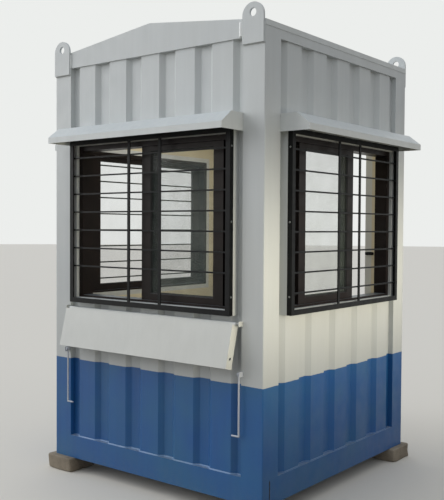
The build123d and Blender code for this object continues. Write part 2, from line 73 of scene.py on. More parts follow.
camera = bpy.data.objects.new("camera", bpy.data.cameras.new("camera"))
bpy.context.scene.collection.objects.link(camera)
camera.matrix_world = Matrix.Translation(EYE) @ Matrix((side, top, -forward)).transposed().to_4x4()
camera.data.sensor_width = 36.0
camera.data.lens = FOCAL_PIXELS / FRAME_HEIGHT_PIXELS * camera.data.sensor_width
bpy.context.scene.camera = camera
bpy.context.scene.view_settings.view_transform = "Standard"
print("lens", round(camera.data.lens, 2), "mm")

# %% [markdown]
# ## Helpers for materials
#
# Paint charts give colours as sRGB hex values, but a renderer adds light in linear values, so one function
# turns the first into the second. A pattern's scale in Blender is the number of lumps in a metre, while a
# maker thinks of a lump's size in millimetres, so a second function turns one into the other.
#
# The third adds a node, sets it and links it in one line, which keeps each material short enough to read
# as a recipe. Its inputs are a list, which fills the sockets from the top, or a dictionary of socket names.
# Only sockets that the node's settings have switched on count. A Map Range node's sockets, for example, are
# the value, the two ends of the range it comes from, and the two ends of the range it goes to.

# %% Colour, scale and node helpers
NOISE = "ShaderNodeTexNoise"
RANGE = "ShaderNodeMapRange"
MIX = "ShaderNodeMix"
MATH = "ShaderNodeMath"
STRETCH = "ShaderNodeMapping"
BUMP = "ShaderNodeBump"


def linear(hex_colour):
    """sRGB hex to linear: v / 12.92 below 0.04045, and ((v + 0.055) / 1.055) ** 2.4 above it."""
    v = np.array([int(hex_colour[i:i + 2], 16) for i in (1, 3, 5)]) / 255
    return (*np.where(v <= 0.04045, v / 12.92, ((v + 0.055) / 1.055) ** 2.4), 1.0)


def per_metre(size_mm):
    """How many lumps of this size lie side by side in a metre: 1000 / size."""
    return 1000.0 / size_mm


def first_output(node):
    """The first output that the node's settings have switched on."""
    return next(output for output in node.outputs if output.enabled)


def add(tree, kind, inputs=(), **settings):
    """Add a node. An input holds a value, an output, or a node, whose first output is linked."""
    node = tree.nodes.new(kind)
    for key, value in settings.items():
        setattr(node, key, value)
    sockets = [socket for socket in node.inputs if socket.enabled]
    if isinstance(inputs, dict):
        names = [socket.name for socket in sockets]
        sockets = [sockets[names.index(name)] for name in inputs]
        inputs = inputs.values()
    for socket, value in zip(sockets, inputs):
        if isinstance(value, bpy.types.Node):
            value = first_output(value)
        if isinstance(value, bpy.types.NodeSocket):
            tree.links.new(value, socket)
        else:
            socket.default_value = value
    return node


def new_material(name):
    """A material with a Principled shader. It also returns the place of each point on the object."""
    material = bpy.data.materials.new(name)
    material.use_nodes = True
    tree = material.node_tree
    tree.nodes.clear()
    shader = add(tree, "ShaderNodeBsdfPrincipled")
    add(tree, "ShaderNodeOutputMaterial", {"Surface": shader})
    print("material:", name)
    return material, tree, shader, add(tree, "ShaderNodeTexCoord").outputs["Object"]


def finish(tree, shader, **sockets):
    """Link a material's last nodes to its shader. An underscore in a name stands for a space."""
    for name, node in sockets.items():
        tree.links.new(first_output(node), shader.inputs[name.replace("_", " ")])


print("sRGB #808080 is", round(linear("#808080")[0], 3), "in linear values")

# %% [markdown]
# ## Dust and painted top light on what faces up
#
# Dust settles on ledges and not on walls. Its pale blue-grey is also painted light: it makes the faces that
# look up lighter, as light from above would. The surface normal's Z is 1 on a ledge and 0 on a wall, so it
# serves as the mixing factor, and a cloud of 20 mm patches breaks it up.

# %% Dust and painted top light
# Pale blue-grey: dust, and painted top light on faces that look up.
LEDGE_DUST_AND_TOP_LIGHT = "#A9B6C0"


def dust_and_top_light(tree, place, colour, strength):
    """Mix dust and painted top light over a colour by the normal's Z times a noise."""
    normal = add(tree, "ShaderNodeSeparateXYZ", [add(tree, "ShaderNodeNewGeometry").outputs["Normal"]])
    up = add(tree, RANGE, [normal.outputs["Z"], 0.35, 0.95, 0.0, strength])
    cloud = add(tree, NOISE, {"Vector": place, "Scale": per_metre(20), "Detail": 5.0})
    cover = add(tree, MATH, [up, add(tree, RANGE, [cloud, 0.2, 0.75, 0.5, 1.0])], operation="MULTIPLY")
    # Dust and painted top light, mixed in on the upward faces.
    return add(tree, MIX, [cover, colour, linear(LEDGE_DUST_AND_TOP_LIGHT)], data_type="RGBA")


# %% [markdown]
# ## Enamel paint on steel, in two colours
#
# The whole body is folded steel, primed and painted with a roller in two coats: off-white above, blue
# below a line 658 mm over the ground. The line was cut in by hand, so it wanders by a few millimetres.
# One material does the whole body: the height of each point, read from its Object coordinates, chooses the
# colour. This is better than one material per colour, because the line then runs on unbroken over posts and
# ribs. What the eye gets from the process: a roller leaves a stipple about 4 mm across, thin sheet is never
# flat, so a very broad wave bends its reflections, and rain leaves upright streaks. A little mud splashes
# up from the ground and rust starts in a few pinholes. The white is also darker towards the foot: that is
# painted shade, for the lower wall that gets less light.

# %% A line cut in by hand
PAINT_LINE = 0.658
LINE_WANDER = 0.0045
BRISTLE_MARKS = 0.0015
LINE_BLUR = 0.0008


def above_line(tree, place, height, line):
    """1 above the line and 0 below it, where a slow wander and bristle marks are added to the height."""
    wander = add(tree, NOISE, {"Vector": place, "Scale": per_metre(200), "Detail": 2.0})
    wander = add(tree, RANGE, [wander, 0.0, 1.0, -LINE_WANDER, LINE_WANDER])
    bristle = add(tree, NOISE, {"Vector": place, "Scale": per_metre(6), "Detail": 2.0})
    bristle = add(tree, RANGE, [bristle, 0.0, 1.0, -BRISTLE_MARKS, BRISTLE_MARKS])
    edge = add(tree, MATH, [add(tree, MATH, [height, wander]), bristle])
    return add(tree, RANGE, [edge, line - LINE_BLUR, line + LINE_BLUR])


# %% [markdown]
# Rain streaks are noise whose Z is shrunk, so each lump is some 16 times as tall as it is wide. Broad clouds
# of a second, close colour are where the roller left more or less paint. Painted shade is a plain ramp down
# the wall.

# %% Streaks, clouds and painted shade
WHITE_STREAK = "#8F938C"
WHITE_CLOUD = "#D6D5C9"
BLUE_STREAK = "#203F6A"
BLUE_CLOUD = "#2C6486"
# Painted shade: a darker grey mixed into the white towards the foot.
FOOT_SHADE = "#87857D"


def weathered_coats(tree, place, height, upper, lower):
    """The two coats, each mixed with its streaks and its clouds, and the upper with painted shade at the
    foot.
    """
    tall = add(tree, STRETCH, {"Vector": place, "Scale": (1.0, 1.0, 0.06)})
    streaks = add(tree, NOISE, {"Vector": tall, "Scale": per_metre(33), "Detail": 5.0, "Roughness": 0.6})
    clouds = add(tree, NOISE, {"Vector": place, "Scale": per_metre(280), "Detail": 4.0})
    pale_streaks = add(tree, RANGE, [streaks, 0.30, 0.75, 0.0, 0.10])
    pale_clouds = add(tree, RANGE, [clouds, 0.30, 0.70, 0.0, 0.12])
    white = add(tree, MIX, [pale_streaks, linear(upper), linear(WHITE_STREAK)], data_type="RGBA")
    white = add(tree, MIX, [pale_clouds, white, linear(WHITE_CLOUD)], data_type="RGBA")
    dark_streaks = add(tree, RANGE, [streaks, 0.30, 0.75, 0.0, 0.25])
    blue_clouds = add(tree, RANGE, [clouds, 0.38, 0.68, 0.0, 0.55])
    blue = add(tree, MIX, [dark_streaks, linear(lower), linear(BLUE_STREAK)], data_type="RGBA")
    blue = add(tree, MIX, [blue_clouds, blue, linear(BLUE_CLOUD)], data_type="RGBA")
    # Painted shade towards the foot: the white darkens from 2.1 m down to 0.6 m.
    foot_shade = add(tree, RANGE, [height, 0.6, 2.1, 0.24, 0.0])
    return add(tree, MIX, [foot_shade, white, linear(FOOT_SHADE)], data_type="RGBA"), blue


# %% [markdown]
# Mud thins out from about 6 to 20 cm over the ground, with a ragged edge, and it lies in spots. Rust needs
# two noises multiplied together: small pinholes, but only inside a few broad regions where the primer is
# thin.

# %% Mud and rust
MUD = "#7D7465"
RUST = "#6B3E24"


def splashed_mud(tree, place, height):
    """Cover: a ramp of the height plus 0.12 noise, from 0.12 to 0.26 m, times spots 14 mm across."""
    ragged = add(tree, NOISE, {"Vector": place, "Scale": per_metre(110), "Detail": 4.0})
    ragged = add(tree, MATH, [height, add(tree, MATH, [ragged, 0.12], operation="MULTIPLY")])
    spots = add(tree, NOISE, {"Vector": place, "Scale": per_metre(14), "Detail": 4.0})
    return add(tree, MATH, [add(tree, RANGE, [ragged, 0.12, 0.26, 0.12, 0.0]),
                            add(tree, RANGE, [spots, 0.35, 0.7])], operation="MULTIPLY")


def pinhole_rust(tree, place):
    """Cover: the peaks of a 16 mm noise, times broad regions 330 mm across."""
    pinholes = add(tree, NOISE, {"Vector": place, "Scale": per_metre(16), "Detail": 6.0, "Roughness": 0.65})
    regions = add(tree, NOISE, {"Vector": place, "Scale": per_metre(330), "Detail": 2.0})
    return add(tree, MATH, [add(tree, RANGE, [pinholes, 0.705, 0.735]),
                            add(tree, RANGE, [regions, 0.50, 0.62, 0.0, 0.55])], operation="MULTIPLY")


# %% [markdown]
# The enamel puts these layers over each other in the order in which they came: coats, mud, rust, dust with
# painted top light. Its gloss varies, and rust is dull. Two bumps give its relief: sheet that is never flat,
# and roller stipple.

# %% Two-coat enamel
OFF_WHITE = "#CDD1D1"
BODY_BLUE = "#1E5894"
NO_LINE = 0.0


def two_coat_enamel(name, line=PAINT_LINE, upper=OFF_WHITE, lower=BODY_BLUE, gloss=0.42):
    """Off-white over blue, split at a height. With NO_LINE, at the ground, all of it is the upper colour."""
    material, tree, shader, place = new_material(name)
    height = add(tree, "ShaderNodeSeparateXYZ", [place]).outputs["Z"]
    white, blue = weathered_coats(tree, place, height, upper, lower)
    paint = add(tree, MIX, [above_line(tree, place, height, line), blue, white], data_type="RGBA")
    paint = add(tree, MIX, [splashed_mud(tree, place, height), paint, linear(MUD)], data_type="RGBA")
    rust = pinhole_rust(tree, place)
    paint = add(tree, MIX, [rust, paint, linear(RUST)], data_type="RGBA")
    # Dust and painted top light on the faces that look up.
    paint = dust_and_top_light(tree, place, paint, 0.55)

    dull = add(tree, NOISE, {"Vector": place, "Scale": per_metre(80), "Detail": 4.0})
    dull = add(tree, RANGE, [dull, 0.3, 0.7, gloss - 0.07, gloss + 0.10])
    dull = add(tree, MATH, [dull, add(tree, MATH, [rust, 0.6], operation="MULTIPLY")])
    waves = add(tree, NOISE, {"Vector": place, "Scale": per_metre(250), "Detail": 1.0})
    stipple = add(tree, NOISE, {"Vector": place, "Scale": per_metre(4), "Detail": 2.0})
    broad = add(tree, BUMP, {"Height": waves, "Strength": 0.35, "Distance": 0.006})
    fine = add(tree, BUMP, {"Height": stipple, "Strength": 0.22, "Distance": 0.0006, "Normal": broad})
    finish(tree, shader, Base_Color=paint, Roughness=dull, Normal=fine)
    return material


body_enamel = two_coat_enamel("body enamel, off-white over blue")
# The counter and the hoods with the roof get a lighter off-white than the body: painted light, for the light
# their tilted faces catch.
lighter_counter_enamel = two_coat_enamel("counter enamel, lighter off-white as painted light", line=NO_LINE, upper="#D3D5D1", gloss=0.38)
lighter_hood_enamel = two_coat_enamel("hood enamel, lighter off-white as painted light", line=NO_LINE, upper="#D6DAD9", gloss=0.40)
stay_enamel = two_coat_enamel("stay enamel, off-white", line=NO_LINE, upper="#C6CCD8", gloss=0.36)
door_enamel = two_coat_enamel("door enamel, off-white", line=NO_LINE, upper="#D2D4CF", gloss=0.40)
# The front seam's much lighter blue is a painted highlight, for the bright line along the ledge.
front_seam_highlight_enamel = two_coat_enamel("front seam enamel, lighter blue as painted highlight", lower="#7093C2", gloss=0.34)

# %% [markdown]
# ## Black enamel on the grilles
#
# The grilles are welded steel bars, brushed with black enamel that has dulled. Black paint shows the
# surface by its highlights alone, so its roughness matters more than its colour. Chips at random spots show
# brown primer, and pale dust with painted top light lies on the upper faces of the rods. The specular level
# is low, as on a paint that chalks in the sun.

# %% Black enamel
black_enamel, tree, shader, place = new_material("black enamel")
blotches = add(tree, NOISE, {"Vector": place, "Scale": per_metre(70), "Detail": 4.0})
chips = add(tree, NOISE, {"Vector": place, "Scale": per_metre(8), "Detail": 5.0, "Roughness": 0.6})
black = add(tree, MIX, [add(tree, RANGE, [blotches, 0.3, 0.7]), linear("#0C0D0E"), linear("#151617")],
            data_type="RGBA")
black = add(tree, MIX, [add(tree, RANGE, [chips, 0.71, 0.74, 0.0, 0.6]), black, linear("#4A382B")],
            data_type="RGBA")
# Dust and painted top light on the faces that look up.
black = dust_and_top_light(tree, place, black, 0.15)
gloss_patches = add(tree, NOISE, {"Vector": place, "Scale": per_metre(33), "Detail": 4.0})
runs = add(tree, NOISE, {"Vector": place, "Scale": per_metre(5.5), "Detail": 2.0})
finish(tree, shader, Base_Color=black, Roughness=add(tree, RANGE, [gloss_patches, 0.3, 0.7, 0.36, 0.55]),
       Normal=add(tree, BUMP, {"Height": runs, "Strength": 0.3, "Distance": 0.0008}))
shader.inputs["Specular IOR Level"].default_value = 0.18

# %% [markdown]
# ## Dark anodised aluminium on the window frames
#
# Sliding windows of this kind are extruded aluminium, anodised dark brown. Anodising leaves a metal that
# still reflects, but through a dark layer, so the base colour is nearly black and the shader only partly
# metallic. The die leaves fine lines along each bar, about 1 mm apart. They run along the bar, upright or
# level, and noise stretched in both directions at once gives lines whichever way a bar lies.

# %% Dark anodised aluminium
dark_aluminium, tree, shader, place = new_material("dark anodised aluminium")
blotches = add(tree, NOISE, {"Vector": place, "Scale": per_metre(140), "Detail": 3.0})
shade = add(tree, MIX, [add(tree, RANGE, [blotches, 0.3, 0.7]), linear("#140E0C"), linear("#1D1512")],
            data_type="RGBA")
# Dust and painted top light on the faces that look up.
shade = dust_and_top_light(tree, place, shade, 0.35)
gloss_patches = add(tree, NOISE, {"Vector": place, "Scale": per_metre(50), "Detail": 3.0})
upright_lines = add(tree, NOISE, {"Scale": per_metre(1.1), "Detail": 1.0,
                                  "Vector": add(tree, STRETCH, {"Vector": place, "Scale": (1.0, 1.0, 0.01)})})
level_lines = add(tree, NOISE, {"Scale": per_metre(1.1), "Detail": 1.0,
                                "Vector": add(tree, STRETCH, {"Vector": place, "Scale": (0.01, 0.01, 1.0)})})
lines = add(tree, MATH, [upright_lines, level_lines])
finish(tree, shader, Base_Color=shade, Roughness=add(tree, RANGE, [gloss_patches, 0.3, 0.7, 0.30, 0.44]),
       Normal=add(tree, BUMP, {"Height": lines, "Strength": 0.12, "Distance": 0.0002}))
shader.inputs["Metallic"].default_value = 0.12
shader.inputs["Specular IOR Level"].default_value = 0.19

# %% [markdown]
# ## Window glass
#
# The panes are 5 mm float glass with a film of dust. Real refraction in a thin, flat pane moves the view by
# less than 2 mm, so a mostly see-through surface with a grey-green film gives the same look, renders
# faster and exports well. The dust is thicker in patches about 170 mm wide.

# %% Float glass
float_glass, tree, shader, place = new_material("float glass with a film of dust")
cloud = add(tree, NOISE, {"Vector": place, "Scale": per_metre(170), "Detail": 5.0, "Roughness": 0.6})
film = add(tree, RANGE, [cloud, 0.3, 0.75])
tint = add(tree, MIX, [film, linear("#7F8F8A"), linear("#9AA096")], data_type="RGBA")
finish(tree, shader, Base_Color=tint, Alpha=add(tree, RANGE, [film, 0.0, 1.0, 0.07, 0.13]))
shader.inputs["Roughness"].default_value = 0.04
shader.inputs["IOR"].default_value = 1.5

# %% [markdown]
# ## Lining boards, floor and ceiling
#
# Inside, the walls and ceiling are clad with cream laminated board: melamine on fibreboard, pressed with a
# slight orange-peel gloss. The floor is cement board with a trodden, dusty face and 5 mm grit.

# %% Laminated board and cement board
laminate, tree, shader, place = new_material("cream laminated board")
clouds = add(tree, NOISE, {"Vector": place, "Scale": per_metre(200), "Detail": 4.0})
scuffs = add(tree, NOISE, {"Vector": place, "Scale": per_metre(26), "Detail": 6.0, "Roughness": 0.6})
peel = add(tree, NOISE, {"Vector": place, "Scale": per_metre(3.3), "Detail": 2.0})
cream = add(tree, MIX, [add(tree, RANGE, [clouds, 0.3, 0.7]), linear("#D9D0B4"), linear("#CFC4A4")],
            data_type="RGBA")
cream = add(tree, MIX, [add(tree, RANGE, [scuffs, 0.62, 0.72, 0.0, 0.35]), cream, linear("#9B917A")],
            data_type="RGBA")
finish(tree, shader, Base_Color=cream,
       Normal=add(tree, BUMP, {"Height": peel, "Strength": 0.15, "Distance": 0.0004}))
shader.inputs["Roughness"].default_value = 0.38

cement_board, tree, shader, place = new_material("cement floor board")
grit = add(tree, NOISE, {"Vector": place, "Scale": per_metre(4.5), "Detail": 6.0, "Roughness": 0.7})
trodden = add(tree, NOISE, {"Vector": place, "Scale": per_metre(250), "Detail": 4.0})
grey = add(tree, MIX, [add(tree, RANGE, [trodden, 0.35, 0.65]), linear("#7C6F5E"), linear("#958672")],
           data_type="RGBA")
grey = add(tree, MIX, [add(tree, RANGE, [grit, 0.4, 0.7, 0.0, 0.5]), grey, linear("#5E5447")],
           data_type="RGBA")
finish(tree, shader, Base_Color=grey,
       Normal=add(tree, BUMP, {"Height": grit, "Strength": 0.3, "Distance": 0.0008}))
shader.inputs["Roughness"].default_value = 0.82

# %% [markdown]
# ## Small finishes
#
# Zinc-plated steel on hinges and screws, black rubber round the panes, white silicone in the joints and the
# primer-grey underframe differ only in two close colours, their gloss and their relief, so one function
# makes them all. It takes the size of a patch of colour and the size and height of a lump, in millimetres.
# The painted shadow in an open joint is made in the same way.

# %% Zinc, rubber, silicone, primer and painted joint shadow
def plain_finish(name, first, second, patch_mm, gloss, metallic=0.0, lump_mm=5.0, lump_height_mm=0.1):
    """Two close colours in patches, a gloss that varies a little, and a fine relief."""
    material, tree, shader, place = new_material(name)
    patches = add(tree, NOISE, {"Vector": place, "Scale": per_metre(patch_mm), "Detail": 4.0})
    colour = add(tree, MIX, [add(tree, RANGE, [patches, 0.3, 0.7]), linear(first), linear(second)],
                 data_type="RGBA")
    lumps = add(tree, NOISE, {"Vector": place, "Scale": per_metre(lump_mm), "Detail": 3.0})
    finish(tree, shader, Base_Color=colour,
           Roughness=add(tree, RANGE, [lumps, 0.3, 0.7, gloss - 0.05, gloss + 0.08]),
           Normal=add(tree, BUMP, {"Height": lumps, "Strength": 0.6, "Distance": lump_height_mm / 1000}))
    shader.inputs["Metallic"].default_value = metallic
    return material


zinc = plain_finish("zinc-plated steel", "#A2A4A2", "#868987", 25, 0.40, metallic=0.85)
rubber = plain_finish("black glazing rubber", "#161616", "#212120", 33, 0.62)
# Near-white silicone, bright enough to be partly a painted glint at the front gable.
silicone_and_glint = plain_finish("white silicone sealant and painted glint", "#F4F6F5", "#E9EBE8", 40, 0.35,
                        lump_mm=11, lump_height_mm=0.5)
primer = plain_finish("grey primer", "#4B4744", "#5C534C", 80, 0.66, lump_height_mm=0.3)
# Painted shadow: near-black colours that stand in for the shade inside an open joint.
joint_shadow_paint = plain_finish("painted shadow in an open joint", "#15181C", "#2A211B", 12, 0.80, lump_height_mm=0.3)

# %% [markdown]
# ## Cast concrete
#
# The booth stands on small blocks of rough cast concrete. Concrete is three layers at three sizes: broad
# damp stains, sand grains about 2.5 mm across, and holes of about 12 mm that air bubbles left. The holes
# are also darkened: that is painted shade inside them.

# %% Concrete
concrete, tree, shader, place = new_material("rough cast concrete")
stains = add(tree, NOISE, {"Vector": place, "Scale": per_metre(110), "Detail": 5.0, "Roughness": 0.6})
sand = add(tree, NOISE, {"Vector": place, "Scale": per_metre(2.5), "Detail": 4.0, "Roughness": 0.7})
bubbles = add(tree, "ShaderNodeTexVoronoi", {"Vector": place, "Scale": per_metre(12)})
holes = add(tree, RANGE, [bubbles, 0.10, 0.20, 1.0, 0.0])
grey = add(tree, MIX, [add(tree, RANGE, [stains, 0.3, 0.7]), linear("#978C7B"), linear("#6F6558")],
           data_type="RGBA")
grey = add(tree, MIX, [add(tree, RANGE, [sand, 0.45, 0.7, 0.0, 0.45]), grey, linear("#AFA490")],
           data_type="RGBA")
# Painted shade: the bubble holes are darkened where shade would fall inside them.
grey = add(tree, MIX, [add(tree, MATH, [holes, 0.7], operation="MULTIPLY"), grey, linear("#3F3931")],
           data_type="RGBA")
relief = add(tree, MATH, [add(tree, MATH, [sand, 0.5], operation="MULTIPLY"), holes], operation="SUBTRACT")
finish(tree, shader, Base_Color=grey,
       Normal=add(tree, BUMP, {"Height": relief, "Strength": 0.7, "Distance": 0.0015}))
shader.inputs["Roughness"].default_value = 0.92

# %% [markdown]
# ## Put the finishes on the model's own nodes
#
# A node whose shape is already right only needs its finish, so its own object is kept and gets a material.

# %% Assign the finishes
FINISHES = {
    body_enamel: ["base_rails", "corner_posts", "eave_rails", "front_gable", "back_gable", "lifting_lugs",
                  "front_wall_sheets", "right_wall_sheets", "left_wall_sheets", "back_wall_sheets",
                  "front_window_surround", "right_window_surround", "left_window_surround"],
    lighter_hood_enamel: ["front_hood", "right_hood", "left_hood", "roof_sheet"],
    lighter_counter_enamel: ["counter_flap", "flap_hinges"],
    stay_enamel: ["left_stay", "right_stay", "stay_eyes"],
    door_enamel: ["door_frame", "door_leaf"],
    black_enamel: ["front_window_grille", "right_window_grille", "left_window_grille"],
    dark_aluminium: ["front_window_track", "right_window_track", "left_window_track",
                     "front_window_sashes", "right_window_sashes", "left_window_sashes"],
    float_glass: ["window_glass"],
    laminate: ["front_lining", "right_lining", "left_lining", "back_lining", "ceiling_panel"],
    cement_board: ["floor_board"],
    zinc: ["door_hinges", "door_handle"],
    primer: ["floor_joists"],
    concrete: ["support_blocks"],
}
for material, names in FINISHES.items():
    for name in names:
        slots = nodes[name].data.materials
        slots.clear()
        slots.append(material)
print("finishes:", len(FINISHES), "on", sum(len(n) for n in FINISHES.values()), "nodes")

# %% [markdown]
# ## Helpers for new pieces
#
# Each new piece is a grid of points worked out by a formula in two parameters, such as the distance along a
# weld and the angle round it. numpy works out the whole grid at once, and four neighbours in the grid make
# one face. Columns close on themselves, so every piece is a tube or a ring. Where a row shrinks to one
# point, its points are merged, which closes the pole.
#
# Walls have their own coordinates, as on a drawing: x along the wall from its middle, depth inward from
# the posts' outer face, and z up. Turning these by the wall's angle gives places on the booth.

# %% Surfaces from grids
HALF_WIDTH = 0.75
WALL_TURN = {"front": 0, "right": 90, "back": 180, "left": 270}


def on_wall(wall, x, depth, z):
    """Wall coordinates to the booth's: (x, depth - half width) turned about Z by the wall's angle."""
    turn = math.radians(WALL_TURN[wall])
    x, y, z = np.broadcast_arrays(x, np.asarray(depth) - HALF_WIDTH, z)
    cos, sin = math.cos(turn), math.sin(turn)
    return np.stack([x * cos - y * sin, x * sin + y * cos, z], -1)


def wall_direction(wall, x, depth):
    """A level direction on a wall, as one on the booth: on_wall's place less on_wall's origin."""
    return on_wall(wall, x, depth, 0) - on_wall(wall, 0, 0, 0)


def make_piece(name, grids, material, stands_for=(), ring=False, fold=30):
    """One object from many grids. Each face joins a point, the next column, the next row, and back.
    With ring, the rows close on themselves too. Edges that turn by more than fold degrees stay sharp."""
    points, faces, count = [], [], 0
    for grid in grids:
        rows, columns = grid.shape[:2]
        row = np.arange(rows if ring else rows - 1)[:, None]
        column = np.arange(columns)[None, :]
        corners = [(row, column), (row, column + 1), (row + 1, column + 1), (row + 1, column)]
        numbers = [count + (r % rows) * columns + c % columns for r, c in corners]
        faces.append(np.stack(np.broadcast_arrays(*numbers), -1).reshape(-1, 4))
        points.append(grid.reshape(-1, 3))
        count += rows * columns
    mesh = bpy.data.meshes.new(name)
    mesh.from_pydata(np.concatenate(points), [], np.concatenate(faces))
    shell = bmesh.new()
    shell.from_mesh(mesh)
    bmesh.ops.remove_doubles(shell, verts=shell.verts, dist=1e-6)
    bmesh.ops.recalc_face_normals(shell, faces=shell.faces)
    shell.to_mesh(mesh)
    shell.free()
    mesh.shade_smooth()
    mesh.set_sharp_from_angle(angle=math.radians(fold))
    mesh.materials.append(material)
    piece = bpy.data.objects.new(name, mesh)
    bpy.context.scene.collection.objects.link(piece)
    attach(piece, "booth")
    if stands_for:
        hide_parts(*stands_for)
    print(name, "grids", len(grids), "faces", len(mesh.polygons))


print("middle of the right wall:", on_wall("right", 0, 0, 1.25))

# %% [markdown]
# ## Weld beads
#
# The lifting lugs are stick-welded. Such a bead is a row of overlapping scallops, each a few millimetres
# long, with round ends. It could be a plain cylinder, but the scallops are what makes it read as a weld, so
# it is a circle carried along the joint whose radius rises and falls. Half of it is inside the steel, as a
# real fillet is fused into it.

# %% A bead along a path
def bead(path, normal, radius, scallop=0.0035, depth=0.14, sides=8):
    """A circle carried along a path of straight runs. The radius at distance s is
    radius x (1 + depth |sin(pi s / scallop)|) x (1 - (2 s / length - 1)^16)^(1/2)."""
    path = np.asarray(path, float)
    marks = np.concatenate([[0.0], np.cumsum(np.linalg.norm(np.diff(path, axis=0), axis=1))])
    s = np.linspace(0.0, marks[-1], max(6, round(marks[-1] / scallop * 3)) + 1)
    spine = np.stack([np.interp(s, marks, path[:, axis]) for axis in range(3)], 1)
    heading = np.gradient(spine, axis=0)
    heading /= np.linalg.norm(heading, axis=1, keepdims=True)
    across = np.cross(heading, normal)
    taper = np.sqrt(np.clip(1 - np.abs(2 * s / marks[-1] - 1) ** 16, 0, 1))
    size = radius * taper * (1 + depth * np.abs(np.sin(math.pi * s / scallop)))
    angle = np.linspace(0, 2 * math.pi, sides, endpoint=False)
    ring = (across[:, None] * np.cos(angle)[None, :, None]
            + np.asarray(normal, float)[None, None] * np.sin(angle)[None, :, None])
    return spine[:, None] + ring * size[:, None, None]


# %% Beads round the lifting lugs
LUG_X = 0.6835
LUG_HALF = 0.0625
LUG_FOOT = 2.299
LUG_SHOULDER = 2.400
LUG_BEAD = 0.0045
lug_beads = []
for wall in ("front", "back"):
    outward = wall_direction(wall, 0, -1)
    for x in (-LUG_X, LUG_X):
        corners = [(x - LUG_HALF, LUG_SHOULDER), (x - LUG_HALF, LUG_FOOT),
                   (x + LUG_HALF, LUG_FOOT), (x + LUG_HALF, LUG_SHOULDER)]
        lug_beads.append(bead([on_wall(wall, a, 0.0, z) for a, z in corners], outward, LUG_BEAD))
make_piece("lug_welds", lug_beads, body_enamel)

# %% [markdown]
# ## Seams at the foot of the ribbed sheets
#
# The ribbed sheet stands on the base rail, and the joint is closed with a thick seam of white sealant. It
# follows every rib. On the front the seam is painted a much lighter blue: a painted highlight for the bright
# line along the ledge. The rib's section is a few corner points that repeat at the rib pitch; numpy's interp
# places the points between them.

# %% Rib line and foot seams
BAY_HALF = 0.62
RIB_PITCH = 0.244
RIB_FACE = 0.008
RIB_TROUGH = 0.030
RIB_HALF_FACE = 0.064
RIB_HALF_FOOT = 0.090
SHEET_FOOT = 0.210
SEAM_PROUD = 0.0005


def rib_line(wall, x0, x1, z):
    """The sheet's outer line between two places on the wall: troughs, slopes and faces by interp."""
    centres = RIB_PITCH * np.arange(-2, 3)
    offsets = np.array([-RIB_HALF_FOOT, -RIB_HALF_FACE, RIB_HALF_FACE, RIB_HALF_FOOT])
    xs = (centres[:, None] + offsets).ravel()
    depths = np.tile([RIB_TROUGH, RIB_FACE, RIB_FACE, RIB_TROUGH], 5)
    inside = xs[(xs > x0) & (xs < x1)]
    x = np.concatenate([[x0], inside, [x1]])
    return on_wall(wall, x, np.interp(x, xs, depths) - SEAM_PROUD, z)


FRONT_SEAM = 0.0050
OTHER_SEAM = 0.0042
SEAM_END_GAP = 0.001
DOORWAY = (-0.572, 0.126)
FOOT_RUNS = [("front", -BAY_HALF, BAY_HALF, FRONT_SEAM), ("right", -BAY_HALF, BAY_HALF, OTHER_SEAM),
             ("left", -BAY_HALF, BAY_HALF, OTHER_SEAM), ("back", DOORWAY[1], BAY_HALF, OTHER_SEAM),
             ("back", -BAY_HALF, DOORWAY[0], OTHER_SEAM)]
foot_seams = [bead(rib_line(wall, x0 + SEAM_END_GAP, x1 - SEAM_END_GAP, SHEET_FOOT), (0, 0, 1), radius,
                   scallop=0.012, depth=0.10) for wall, x0, x1, radius in FOOT_RUNS]
# The front seam carries the painted highlight of the ledge in its lighter blue.
make_piece("front_foot_seam", foot_seams[:1], front_seam_highlight_enamel)
make_piece("other_foot_seams", foot_seams[1:], body_enamel)

# %% [markdown]
# ## Concrete blocks
#
# The blocks are cast in rough moulds: nearly square, with rounded, crumbled edges. The CAD model has plain
# ones. A superellipsoid is a sphere whose coordinates are raised to a small power, which pushes it out
# towards a box. Waves of several lengths, added together, then crumble its faces.

# %% Rough blocks
BLOCK_SIZE = 0.210
BLOCK_HEIGHT = 0.080
BLOCK_CENTRE = 0.685
BLOCK_MARGIN = 0.005
BLOCK_POWER = 0.14
LONGEST_WAVE_MM = 60
LARGEST_CRUMBLE = 0.0024


def squarish(t, power):
    """sign(t) |t|^power: a small power pushes a sine out towards -1 and 1, so a circle turns squarish.
    Rounding t makes its zeros exact, so that a sphere's poles shrink to one point and close."""
    return np.sign(t) * np.abs(np.round(t, 9)) ** power


def rough_block(x, y, seed):
    """Superellipsoid: a sphere's sines and cosines, made squarish, times the half size, plus waves."""
    rng = np.random.default_rng(seed)
    around = np.linspace(-math.pi, math.pi, 128, endpoint=False)[None, :]
    up = np.linspace(-math.pi / 2, math.pi / 2, 41)[:, None]
    cos_up, sin_up = (squarish(wave(up), BLOCK_POWER) for wave in (np.cos, np.sin))
    cos_around, sin_around = (squarish(wave(around), BLOCK_POWER) for wave in (np.cos, np.sin))
    ball = np.stack(np.broadcast_arrays(cos_up * cos_around, cos_up * sin_around, sin_up), -1)
    half = np.array([BLOCK_SIZE / 2 - BLOCK_MARGIN, BLOCK_SIZE / 2 - BLOCK_MARGIN, BLOCK_HEIGHT / 2])
    grid = ball * half
    waves = sum(LARGEST_CRUMBLE / n * np.sin((grid * per_metre(LONGEST_WAVE_MM / n)) @ rng.normal(size=3)
                                             + rng.uniform(0, 6)) for n in (1, 2, 3, 5, 8))
    grid = grid + ball * waves[..., None]
    grid[..., 2] = np.clip(grid[..., 2], -half[2], half[2]) + half[2]
    edge = BLOCK_SIZE / 2
    return np.clip(grid, (-edge, -edge, 0), (edge, edge, BLOCK_HEIGHT)) + (x, y, 0)


